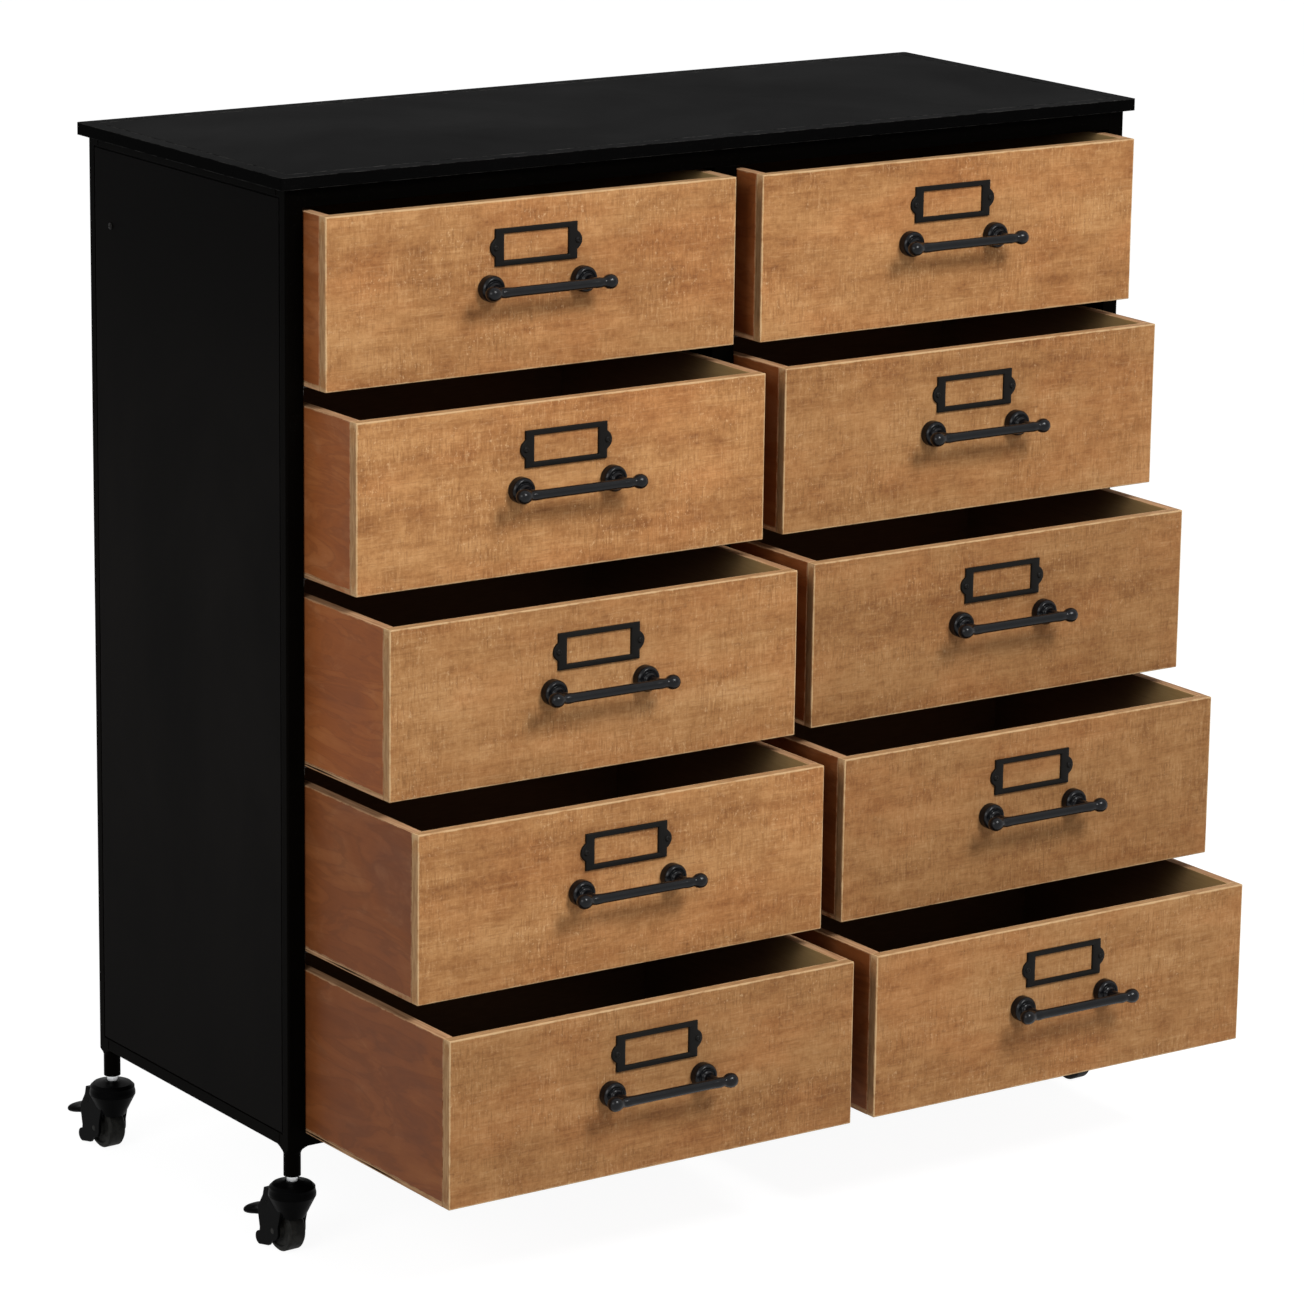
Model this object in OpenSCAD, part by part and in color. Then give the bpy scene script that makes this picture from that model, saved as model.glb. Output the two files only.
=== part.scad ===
// Ten-drawer cabinet: black steel frame and panels, wooden drawers, four braked stem casters.
// Origin: on the floor, below the middle of the cabinet. +X to the right, +Y to the back, +Z up.

/* [Drawer grid] */
// Number of drawer rows
rows = 5; // [2:1:5]
// Width of one drawer front
drawer_w = 425.5; // [380:0.5:480]
// Height of one drawer front
drawer_h = 151.5; // [140:0.5:180]
// Length of a drawer, front board included
drawer_d = 322; // [300:1:324]
// Free height between two drawers
row_gap = 17.3; // [14:0.1:30]
// Free space each side of a drawer
side_clear = 1.25; // [1:0.05:2]
// How far each drawer of the left column stands open, from the top
open_left = [35, 85, 139, 185, 236];
// How far each drawer of the right column stands open, from the top
open_right = [39, 79, 128, 180, 235];

/* [Drawer boards] */
// Thickness of the front board
front_t = 10.3; // [8:0.1:14]
// Thickness of the side and back boards
board_t = 10; // [8:0.5:12]
// Thickness of the bottom board
bottom_t = 4; // [3:0.5:6]

/* [Frame] */
// Width and depth of a corner post
post_w = 17; // [16:0.5:24]
// Rounding of a post's upright edges
post_r = 2; // [1:0.25:2.5]
// Wall of the square tubes
tube_wall = 2.5; // [2:0.25:3]
// Depth of the body, front of posts to back of posts
body_d = 346; // [345:1:420]
// Visible height of the front top rail
top_rail_h = 17; // [14:0.5:24]
// Free height between the top rail and the first drawer
top_clear = 3.5; // [2:0.5:6]
// Height of the bottom rails
bottom_rail_h = 11; // [10:0.5:16]
// Free height between the last drawer and the bottom rail
base_clear = 0.8; // [0.5:0.1:2]
// Visible height of the side top rails below the top panel's rim
side_rail_h = 8; // [6:0.5:14]
// Width of the divider between the two columns
divider_w = 23.5; // [20:0.5:30]

/* [Sheet metal] */
// Thickness of the side, back and bottom sheets
sheet_t = 1; // [0.8:0.1:1.2]
// Width of the strip of post beside a sheet
strip_w = 10; // [9:0.5:11]
// Width of the groove around a sheet
groove_w = 1.6; // [1:0.1:2]
// Thickness of the top panel
top_t = 1.5; // [1.2:0.1:2]
// Height of the top panel's rim
rim_h = 11; // [9:0.5:14]
// Thickness of the top panel's rim
rim_t = 2; // [1.5:0.25:3]
// Overhang of the top panel at the sides
over_side = 8.25; // [6:0.25:14]
// Overhang of the top panel at the front and the back
over_front = 7.5; // [6:0.25:14]
// Corner radius of the top panel
top_r = 3; // [2:0.5:5]
// Distance of the top panel's groove from its edge
top_groove_in = 14; // [12:0.5:18]
// Depth of the top panel's groove
top_groove_t = 0.8; // [0.5:0.1:1]

/* [Runners] */
// Width of a runner below its drawer
runner_w = 16; // [12:0.5:20]
// Height of a runner's upright leg
runner_h = 8; // [6:0.5:9]
// Thickness of a runner
runner_t = 1.5; // [1:0.1:2]
// Gap between a runner and its drawer
runner_clear = 0.3; // [0.2:0.1:0.5]

/* [Pulls] */
// Distance between the two arms of a pull
pull_pitch = 96; // [64:16:128]
// Distance of the bar's axis from the drawer front
pull_reach = 27; // [24:0.5:34]
// Diameter of the bar
bar_d = 8.6; // [7:0.2:10]
// Length of the bar beyond each arm, to the ball's centre
bar_over = 13.3; // [12:0.5:18]
// Diameter of the end balls
ball_d = 11.4; // [10:0.2:13]
// Diameter of the rosettes
rosette_d = 23.5; // [20:0.5:28]
// Height of a rosette
rosette_h = 6.6; // [5:0.2:8]
// Diameter of the pull's screws
screw_d = 4; // [3:0.5:5]

/* [Label holders] */
// Width of a label holder without its ears
label_w = 85; // [70:1:100]
// Height of a label holder
label_h = 33; // [28:1:40]
// Thickness of a label holder
label_t = 2.4; // [2:0.1:3]
// Width of its upright bars
label_bar = 9; // [7:0.5:12]
// Width of its top and bottom bars
label_lip = 4.8; // [4:0.2:7]
// Radius of its ears
ear_r = 8.8; // [7:0.2:10]
// How far the ears stand out
ear_out = 5; // [4:0.5:6]
// Diameter of the label holder's screws
pin_d = 2.4; // [2:0.2:3]
// Distance from the drawer's top edge to the label holder
label_drop = 24.5; // [15:0.5:30]

/* [Legs and casters] */
// Length of a leg below the bottom rail
leg_len = 27.5; // [20:0.5:40]
// Diameter of a leg
leg_d = 15.6; // [14:0.2:16]
// Height of the blend between a leg and the rails
blend_r = 8; // [5:0.5:9]
// Height of a caster, floor to leg
caster_h = 73; // [71:0.5:80]
// Diameter of a caster wheel
wheel_d = 40; // [36:1:42]
// Width of a caster wheel's tread
wheel_w = 16.5; // [14:0.5:20]
// Length of the wheel's hub between the cheeks
hub_w = 24; // [22:0.5:28]
// Distance of the wheel's axle behind the stem
trail = 10; // [8:0.5:11]
// Turn of the casters about their stems, away from straight back
caster_turn = 3; // [0:1:90]
// Diameter of the swivel cap
cap_d = 43; // [41:0.5:46]
// Diameter of the stem between leg and cap
stem_d = 10; // [9:0.5:11]
// Visible height of the stem
stem_gap = 5.5; // [4:0.5:7]
// Diameter of the stem's pins in the leg and in the cap
spigot_d = 8; // [7:0.5:8]
// Diameter of the wheel's axle
axle_d = 5; // [4:0.5:6]
// Thickness of the fork's cheeks
cheek_t = 2.6; // [2:0.1:3]
// Width of the brake pedal between the cheeks
pedal_w = 20; // [16:0.5:22]
// Width of the brake pedal's tongue at its end
tongue_w = 28; // [24:0.5:32]
// Length of the brake pedal behind its pivot
pedal_len = 45; // [41:0.5:49]

/* [Fits] */
// Radial clearance of pins and screws in their holes
pin_clear = 0.05; // [0.02:0.01:0.08]
// Free space between the wheel's tread and its fork
wheel_clear = 1; // [0.8:0.1:1.4]
// Free space at each end of the wheel's hub
hub_clear = 0.4; // [0.3:0.05:0.5]
// Free space between the brake shoe and the tread
shoe_clear = 2; // [1.8:0.1:2.2]

/* [Hidden] */
round_fn = 64;
small_fn = 40;
pitch_z = drawer_h + row_gap;
body_w = 2 * (post_w + 2 * side_clear + drawer_w) + divider_w;
body_h = rim_h + top_rail_h + top_clear + rows * drawer_h + (rows - 1) * row_gap
    + base_clear + bottom_rail_h;
base_z = caster_h + leg_len;
top_z = base_z + body_h;
frame_top = top_z - top_t;
front_y = -body_d / 2;
back_y = body_d / 2;
col_x = divider_w / 2 + side_clear + drawer_w / 2;
rail_top = base_z + bottom_rail_h;
rail_low = top_z - rim_h - top_rail_h;
side_top = top_z - rim_h - side_rail_h;
divider_d = body_d - sheet_t;
inner_x = body_w / 2 - post_w;
inner_y = body_d / 2 - post_w;
leg_in = post_w / 2;
blend_end = 2;
hole_over = 0.5;
paint_black = [0.06, 0.06, 0.065];
metal_dark = [0.09, 0.09, 0.1];
steel = [0.72, 0.73, 0.75];
tyre_grey = [0.3, 0.3, 0.3];
plastic_black = [0.07, 0.07, 0.07];
wood_front = [0.74, 0.52, 0.29];
wood_side = [0.6, 0.36, 0.2];

// Pull
boss_d = rosette_d - 6;
arm_d = 8;
neck_d = bar_d - 2;
neck_len = 5;
pull_z = drawer_h / 2;
screw_in = 9;
head_d = 2.2 * screw_d;
head_t = 2.5;

// Label holder
card_play = 2;
card_t = 0.9;
pin_in = 6;
pin_head_d = 2.3 * pin_d;
pin_head_t = 1.4;
label_z = drawer_h - label_drop - label_h / 2;
window_w = label_w - 2 * label_bar;
window_h = label_h - 2 * label_lip;

// Caster, in its own axes: stem on Z, the wheel trails towards +X
wheel_r = wheel_d / 2;
crown_z = caster_h - stem_gap;
cap_r = cap_d / 2;
cap_rim_z = crown_z - 5;
cap_low_z = crown_z - 13;
hood_low_z = crown_z - 33;
hood_low_r = 11.7;
inner_w = hub_w + 2 * hub_clear;
fork_w = inner_w + 2 * cheek_t;
cavity_r = wheel_r + wheel_clear;
hub_r = 8;
tread_edge = 1.5;
spigot_len = 16;
boss_r = 9;
foot_r = 6.3;
foot_x = trail + 20.5;
foot_z = 8.2;
waist_x = trail + 20;
back_x = trail + 23;
shoulder_x = trail + 13;
pivot_pin_d = 4;
pivot_r = 4.2;
pivot_back = 9;
pivot_rise = 25;
pivot_x = trail + pivot_back;
pivot_z = wheel_r + pivot_rise;
slot_x = pivot_x - pivot_r - 1;
slot_z = pivot_z + pivot_r + 2;
shoe_r = wheel_r + shoe_clear;
tip_r = 4.6;
tip_drop = 19.8;
tip_round = 8;
neck_end = 18;
stem_x = body_w / 2 - leg_in;
stem_y = body_d / 2 - leg_in;

column = ["left", "right"];
corner = ["front_left", "front_right", "rear_left", "rear_right"];
corner_x = [-1, 1, -1, 1];
corner_y = [-1, -1, 1, 1];

// A box from its low corner to its high corner
module block(low, high) {
    translate(low)
        cube(high - low);
}

// A rectangle about the origin with round corners
module round_rect(w, d, r) {
    square([w - 2 * r, d], center = true);
    square([w, d - 2 * r], center = true);
    for (sx = [-1, 1], sy = [-1, 1])
        translate([sx * (w / 2 - r), sy * (d / 2 - r)])
            circle(r = r, $fn = small_fn);
}

// A round bar along +Y from y = 0
module bar_y(d, len) {
    rotate([-90, 0, 0])
        cylinder(d = d, h = len, $fn = round_fn);
}

// ---------------------------------------------------------------- cabinet

// Pressed top: a shallow pan with a turned-down rim and a groove around its field
module top_panel() {
    w = body_w + 2 * over_side;
    d = body_d + 2 * over_front;
    field_w = w - 2 * top_groove_in;
    field_d = d - 2 * top_groove_in;
    color(metal_dark)
        difference() {
            translate([0, 0, top_z - rim_h])
                linear_extrude(rim_h)
                    round_rect(w, d, top_r);
            translate([0, 0, top_z - rim_h - 1])
                linear_extrude(rim_h + 1 - top_t)
                    square([w - 2 * rim_t, d - 2 * rim_t], center = true);
            translate([0, 0, top_z - top_groove_t])
                linear_extrude(top_groove_t + 1)
                    difference() {
                        square([field_w, field_d], center = true);
                        square([field_w - 2 * groove_w, field_d - 2 * groove_w], center = true);
                    }
        }
}

// Outline of a post, with only its outer corner rounded
module post_outline() {
    side = post_w - post_r;
    translate([-leg_in + post_r, -leg_in])
        square([side, post_w]);
    translate([-leg_in, -leg_in + post_r])
        square([post_w, side]);
    translate([-leg_in + post_r, -leg_in + post_r])
        circle(r = post_r, $fn = small_fn);
}

// The concave blend between a leg and the rails above it, with blunt ends
module leg_blend() {
    intersection() {
        translate([0, 0, -blend_r])
            rotate_extrude($fn = round_fn)
                difference() {
                    translate([0, blend_end])
                        square([leg_d / 2 + blend_r - blend_end, blend_r - blend_end]);
                    translate([leg_d / 2 + blend_r, 0])
                        circle(r = blend_r, $fn = round_fn);
                }
        translate([0, 0, -blend_r])
            linear_extrude(blend_r) {
                post_outline();
                translate([0, -leg_in])
                    square([leg_in + blend_r, post_w]);
                translate([-leg_in, 0])
                    square([post_w, leg_in + blend_r]);
            }
    }
}

// The front left corner post with its leg: a square tube, stepped back where the sheets lie
module post(rear) {
    outer = -body_w / 2;
    difference() {
        translate([outer + leg_in, front_y + leg_in, base_z])
            linear_extrude(frame_top - base_z)
                difference() {
                    post_outline();
                    square(post_w - 2 * tube_wall, center = true);
                }
        block([outer - 1, front_y + strip_w, rail_top],
              [outer + sheet_t, front_y + post_w + 1, side_top]);
        if (rear)
            block([outer + strip_w, front_y - 1, rail_top],
                  [outer + post_w + 1, front_y + sheet_t, rail_low]);
    }
    translate([outer + leg_in, front_y + leg_in, base_z]) {
        leg_blend();
        difference() {
            union() {
                translate([0, 0, -leg_len])
                    cylinder(d = leg_d, h = leg_len, $fn = round_fn);
                linear_extrude(tube_wall)
                    square(post_w - 2 * tube_wall, center = true);
            }
            translate([0, 0, -leg_len - 1])
                cylinder(d = spigot_d + 2 * pin_clear, h = spigot_len + 1 + hole_over, $fn = round_fn);
        }
    }
}

// A rectangular tube along X between the posts
module rail_x(y, low, high) {
    difference() {
        block([-inner_x, y, low], [inner_x, y + post_w, high]);
        block([-inner_x - 1, y + tube_wall, low + tube_wall],
              [inner_x + 1, y + post_w - tube_wall, high - tube_wall]);
    }
}

// A rectangular tube along Y between the left posts
module rail_y(low, high) {
    x = -body_w / 2;
    difference() {
        block([x, -inner_y, low], [x + post_w, inner_y, high]);
        block([x + tube_wall, -inner_y - 1, low + tube_wall],
              [x + post_w - tube_wall, inner_y + 1, high - tube_wall]);
    }
}

// Four posts with their legs, and the eight rails welded between them
module frame() {
    color(paint_black) {
        for (sx = [0, 1]) mirror([sx, 0, 0]) {
            post(false);
            mirror([0, 1, 0])
                post(true);
            rail_y(base_z, rail_top);
            rail_y(side_top, frame_top);
        }
        for (y = [front_y, back_y - post_w]) {
            rail_x(y, base_z, rail_top);
            rail_x(y, rail_low, frame_top);
        }
    }
}

// Flat sheets set into the sides, with a groove left around each
module side_panels() {
    len = body_d - 2 * (strip_w + groove_w);
    color(paint_black)
        for (sx = [0, 1]) mirror([sx, 0, 0])
            block([-body_w / 2, -len / 2, rail_top + groove_w],
                  [-body_w / 2 + sheet_t, len / 2, side_top - groove_w]);
}

// The back sheet, set in the same way
module back_panel() {
    w = body_w - 2 * (strip_w + groove_w);
    color(paint_black)
        block([-w / 2, back_y - sheet_t, rail_top + groove_w],
              [w / 2, back_y, rail_low - groove_w]);
}

// The floor sheet between the bottom rails
module bottom_panel() {
    color(paint_black)
        block([-inner_x, -inner_y, base_z], [inner_x, inner_y, base_z + sheet_t]);
}

// The upright box-section divider between the two columns of drawers
module centre_divider() {
    color(paint_black)
        difference() {
            block([-divider_w / 2, front_y, rail_top],
                  [divider_w / 2, front_y + divider_d, rail_low]);
            block([-divider_w / 2 + sheet_t, front_y + sheet_t, rail_top - 1],
                  [divider_w / 2 - sheet_t, front_y + divider_d - sheet_t, rail_low + 1]);
        }
}

// One angle section below a drawer's edge, with its leg on the plane x = 0
module runner() {
    len = body_d - 2 * post_w;
    translate([0, len / 2, 0])
        rotate([90, 0, 0])
            linear_extrude(len)
                polygon([[0, 0], [runner_w, 0], [runner_w, -runner_t], [runner_t, -runner_t],
                         [runner_t, -runner_h], [0, -runner_h]]);
}

// A pair of runners under every drawer
module drawer_runners() {
    color(metal_dark)
        for (i = [0 : rows - 1], sx = [0, 1])
            mirror([sx, 0, 0])
                translate([0, 0, drawer_z(i) - runner_clear]) {
                    translate([divider_w / 2, 0, 0])
                        runner();
                    translate([inner_x, 0, 0])
                        mirror([1, 0, 0])
                            runner();
                }
}

// ---------------------------------------------------------------- drawers

// Height of the underside of drawer i, counted from the top
function drawer_z(i) = top_z - rim_h - top_rail_h - top_clear - drawer_h - i * pitch_z;

// How far drawer i of a column stands open
function drawer_open(side, i) = side < 0 ? open_left[i] : open_right[i];

// Moves a drawer from its own axes: x = 0 at its middle, y = 0 at its front face, z = 0 below it
module at_drawer(side, i) {
    translate([side * col_x, front_y - drawer_open(side, i), drawer_z(i)])
        children();
}

// The front board, drilled for the pull and the label holder
module drawer_front() {
    color(wood_front)
        difference() {
            block([-drawer_w / 2, 0, 0], [drawer_w / 2, front_t, drawer_h]);
            for (sx = [-1, 1]) {
                translate([sx * pull_pitch / 2, -1, pull_z])
                    bar_y(screw_d + 2 * pin_clear, front_t + 2);
                translate([sx * label_w / 2, -1, label_z])
                    bar_y(pin_d + 2 * pin_clear, pin_in + 1 + hole_over);
            }
        }
}

// Two sides and a back, with the bottom board nailed below them
module drawer_box() {
    half = drawer_w / 2;
    color(wood_side) {
        for (sx = [0, 1])
            mirror([sx, 0, 0])
                block([-half, front_t, bottom_t], [-half + board_t, drawer_d, drawer_h]);
        block([-half + board_t, drawer_d - board_t, bottom_t], [half - board_t, drawer_d, drawer_h]);
        block([-half, front_t, 0], [half, drawer_d, bottom_t]);
    }
}

// Half of the bar's outline: straight, drawn in at the neck, out again to the ball
module bar_profile() {
    neck_x = pull_pitch / 2 + bar_over - ball_d / 2 - 1;
    polygon([[0, 0], [0, bar_d / 2], [neck_x - neck_len, bar_d / 2], [neck_x, neck_d / 2],
             [neck_x + 3, ball_d * 0.4], [neck_x + 3, 0]]);
    intersection() {
        translate([pull_pitch / 2 + bar_over, 0])
            circle(d = ball_d, $fn = round_fn);
        square([pull_pitch + bar_over, ball_d]);
    }
}

// A bar on two arms with stepped round rosettes, and the screws that hold it
module pull() {
    color(metal_dark)
        translate([0, 0, pull_z]) {
            difference() {
                union() {
                    for (sx = [0, 1])
                        mirror([sx, 0, 0]) {
                            translate([0, -pull_reach, 0])
                                rotate([0, 90, 0])
                                    rotate([0, 0, 90])
                                        rotate_extrude($fn = round_fn)
                                            mirror([1, -1, 0])
                                                bar_profile();
                            translate([pull_pitch / 2, 0, 0])
                                rotate([90, 0, 0])
                                    rotate_extrude($fn = round_fn)
                                        polygon([[0, 0], [rosette_d / 2, 0],
                                                 [rosette_d / 2, 0.35 * rosette_h],
                                                 [rosette_d / 2 - 1, 0.5 * rosette_h],
                                                 [boss_d / 2, 0.55 * rosette_h],
                                                 [boss_d / 2 - 1, 0.9 * rosette_h],
                                                 [arm_d / 2 + 1.5, rosette_h],
                                                 [arm_d / 2, rosette_h + 2],
                                                 [arm_d / 2 - 0.6, pull_reach - 5],
                                                 [arm_d / 2, pull_reach],
                                                 [0, pull_reach]]);
                        }
                }
                for (sx = [-1, 1])
                    translate([sx * pull_pitch / 2, -screw_in - hole_over, 0])
                        bar_y(screw_d + 2 * pin_clear, screw_in + hole_over + 1);
            }
            for (sx = [-1, 1])
                translate([sx * pull_pitch / 2, -screw_in, 0]) {
                    bar_y(screw_d, screw_in + front_t);
                    translate([0, screw_in + front_t, 0])
                        bar_y(head_d, head_t);
                }
        }
}

// Outline of a label holder: a rectangle with a round ear at each side
module label_outline() {
    square([label_w, label_h], center = true);
    for (sx = [-1, 1])
        translate([sx * (label_w / 2 + ear_out - ear_r), 0])
            circle(r = ear_r, $fn = round_fn);
}

// A frame with a window, hollowed behind for a card that slides in from above
module label_holder() {
    color(metal_dark)
        translate([0, 0, label_z]) {
            difference() {
                rotate([90, 0, 0])
                    linear_extrude(label_t)
                        difference() {
                            label_outline();
                            square([window_w, window_h], center = true);
                        }
                block([-window_w / 2 - card_play, -card_t, -window_h / 2 - card_play],
                      [window_w / 2 + card_play, 1, label_h]);
                for (sx = [-1, 1])
                    translate([sx * label_w / 2, -label_t - 1, 0])
                        bar_y(pin_d + 2 * pin_clear, label_t + 2);
            }
            for (sx = [-1, 1])
                translate([sx * label_w / 2, 0, 0]) {
                    translate([0, -label_t, 0])
                        bar_y(pin_d, label_t + pin_in);
                    translate([0, -label_t, 0])
                        rotate([90, 0, 0])
                            cylinder(d1 = pin_head_d, d2 = 0.6 * pin_head_d, h = pin_head_t,
                                     $fn = small_fn);
                }
        }
}

// ---------------------------------------------------------------- casters

// Moves a caster from its own axes to corner k
module at_corner(k) {
    translate([corner_x[k] * stem_x, corner_y[k] * stem_y, 0])
        rotate([0, 0, 90 + caster_turn])
            children();
}

// The zinc-plated stems: a pin in the leg, a shoulder, and a pin that the fork turns on
module caster_stems() {
    color(steel)
        for (k = [0 : 3])
            at_corner(k) {
                translate([0, 0, crown_z - spigot_len])
                    cylinder(d = spigot_d, h = 2 * spigot_len + stem_gap, $fn = round_fn);
                translate([0, 0, crown_z + hole_over])
                    cylinder(d = stem_d, h = stem_gap - hole_over, $fn = round_fn);
            }
}

// Side view of a cheek: an eye round the axle, a foot behind the wheel and a shoulder below the cap
module cheek_outline() {
    polygon([[-8, cap_low_z], [-3, hood_low_z + 6], [trail - boss_r, wheel_r + 6],
             [trail - boss_r, wheel_r], [trail, wheel_r - boss_r], [trail + 6, foot_z - 3.5],
             [foot_x, foot_z - foot_r], [foot_x, foot_z + foot_r], [waist_x, wheel_r - 2],
             [back_x - 0.5, wheel_r + 10], [back_x, wheel_r + 17], [shoulder_x + 2, wheel_r + 30],
             [shoulder_x, cap_rim_z - 4.5], [0, cap_rim_z]]);
    translate([trail, wheel_r])
        circle(r = boss_r, $fn = round_fn);
    translate([foot_x, foot_z])
        circle(r = foot_r, $fn = round_fn);
}

// The swivelling fork: a domed cap that tapers down to the wheel, two cheeks, open behind for the pedal
module fork() {
    color(plastic_black)
        difference() {
            union() {
                rotate_extrude($fn = round_fn)
                    polygon([[0, hood_low_z], [hood_low_r, hood_low_z], [cap_r, cap_low_z],
                             [cap_r, cap_low_z + 2.5], [cap_r - 0.8, cap_rim_z - 2],
                             [cap_r - 0.8, cap_rim_z], [cap_r - 3.5, cap_rim_z + 2.6],
                             [stem_d / 2 + 6, crown_z - 1], [stem_d / 2 + 2, crown_z], [0, crown_z]]);
                translate([0, fork_w / 2, 0])
                    rotate([90, 0, 0])
                        linear_extrude(fork_w)
                            cheek_outline();
            }
            translate([trail, 0, wheel_r])
                rotate([90, 0, 0])
                    cylinder(r = cavity_r, h = inner_w, center = true, $fn = round_fn);
            block([-cap_d, -inner_w / 2, -1], [trail, inner_w / 2, wheel_r]);
            block([trail, -inner_w / 2, -1], [back_x + cap_r, inner_w / 2, wheel_r]);
            block([slot_x, -inner_w / 2, wheel_r - 1], [back_x + cap_r, inner_w / 2, slot_z]);
            translate([0, 0, crown_z - spigot_len - hole_over])
                cylinder(d = spigot_d + 2 * pin_clear, h = spigot_len + 2, $fn = round_fn);
            translate([trail, 0, wheel_r])
                rotate([90, 0, 0])
                    cylinder(d = axle_d + 2 * pin_clear, h = fork_w + 2, center = true, $fn = small_fn);
            translate([pivot_x, 0, pivot_z])
                rotate([90, 0, 0])
                    cylinder(d = pivot_pin_d + 2 * pin_clear, h = fork_w + 2, center = true,
                             $fn = small_fn);
        }
}

// Half of the wheel's section: axle pin, hub, dished web and rounded tread
function wheel_half(half) =
    [[0, fork_w / 2], [axle_d / 2, fork_w / 2], [axle_d / 2, hub_w / 2],
     [hub_r - 1, hub_w / 2], [hub_r, hub_w / 2 - 1], [hub_r, half - tread_edge],
     [wheel_r - 5, half - tread_edge], [wheel_r - 4.5, half], [wheel_r - tread_edge, half],
     [wheel_r, half - tread_edge]];

// A wheel that turns on its axle pin in the two cheeks
module wheel() {
    upper = wheel_half(wheel_w / 2);
    color(tyre_grey)
        translate([trail, 0, wheel_r])
            rotate([90, 0, 0])
                rotate_extrude($fn = round_fn)
                    polygon(concat(upper, [for (k = [len(upper) - 1 : -1 : 0]) [upper[k][0], -upper[k][1]]]));
}

// Side view of the brake lever about its pivot: eye, shoe above the tread, and a thick-lipped tongue
module lever_outline() {
    shoe_x = trail - pivot_x;
    shoe_z = wheel_r - pivot_z;
    tip_x = pedal_len - tip_r;
    circle(r = pivot_r, $fn = round_fn);
    polygon([[0, pivot_r], [pivot_r + 2, pivot_r - 1.2], [12, -4], [17, -10.5], [23, -13.2],
             [tip_x - 3.5, 3 - tip_drop], [tip_x, tip_r - tip_drop], [tip_x, -tip_r - tip_drop],
             [tip_x - 3.5, -3 - tip_drop], [23, -19.5],
             [shoe_x + shoe_r * cos(18), shoe_z + shoe_r * sin(18) + 2],
             [shoe_x + shoe_r * cos(30), shoe_z + shoe_r * sin(30)],
             [shoe_x + shoe_r * cos(45), shoe_z + shoe_r * sin(45)],
             [shoe_x + shoe_r * cos(57), shoe_z + shoe_r * sin(57)], [0, -pivot_r]]);
    translate([tip_x, -tip_drop])
        circle(r = tip_r, $fn = round_fn);
}

// Plan of the brake lever: straight between the cheeks, then a tongue that widens to round corners
module lever_plan() {
    end_x = pedal_len - tip_round;
    end_y = tongue_w / 2 - tip_round;
    translate([-2 * pivot_r, -pedal_w / 2])
        square([2 * pivot_r + neck_end, pedal_w]);
    polygon([[neck_end, -pedal_w / 2], [end_x, -tongue_w / 2], [end_x, -end_y],
             [pedal_len, -end_y], [pedal_len, end_y], [end_x, end_y],
             [end_x, tongue_w / 2], [neck_end, pedal_w / 2]]);
    for (sy = [-1, 1])
        translate([end_x, sy * end_y])
            circle(r = tip_round, $fn = round_fn);
}

// The brake lever: pressing its tongue swings the shoe onto the tread
module pedal() {
    color(plastic_black)
        translate([pivot_x, 0, pivot_z]) {
            intersection() {
                rotate([90, 0, 0])
                    linear_extrude(tongue_w, center = true)
                        lever_outline();
                translate([0, 0, -pivot_z])
                    linear_extrude(2 * pivot_z)
                        lever_plan();
            }
            rotate([90, 0, 0])
                cylinder(d = pivot_pin_d, h = fork_w, center = true, $fn = small_fn);
        }
}

// ---------------------------------------------------------------- nodes

top_panel();
frame();
side_panels();
back_panel();
bottom_panel();
centre_divider();
drawer_runners();
caster_stems();

for (c = [0, 1], i = [0 : rows - 1]) {
    name = str(column[c], "_", i + 1);
    at_drawer(2 * c - 1, i) drawer_front();
    at_drawer(2 * c - 1, i) drawer_box();
    at_drawer(2 * c - 1, i) pull();
    at_drawer(2 * c - 1, i) label_holder();
}

for (k = [0 : 3]) {
    at_corner(k) fork();
    at_corner(k) wheel();
    at_corner(k) pedal();
}
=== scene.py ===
# %% [markdown]
# # A drawer cabinet on casters
# The real cabinet is a black steel frame with sheet panels, ten wooden drawers with bar pulls and card holders, and
# four braked casters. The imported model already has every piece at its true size, so this lesson dresses it: wood that
# was sawn, worn and oiled gets new surfaces, steel keeps its solid and gets paint with rubbed edges.

import math

import bmesh
import bpy
import numpy as np
from mathutils import Matrix, Vector


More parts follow.
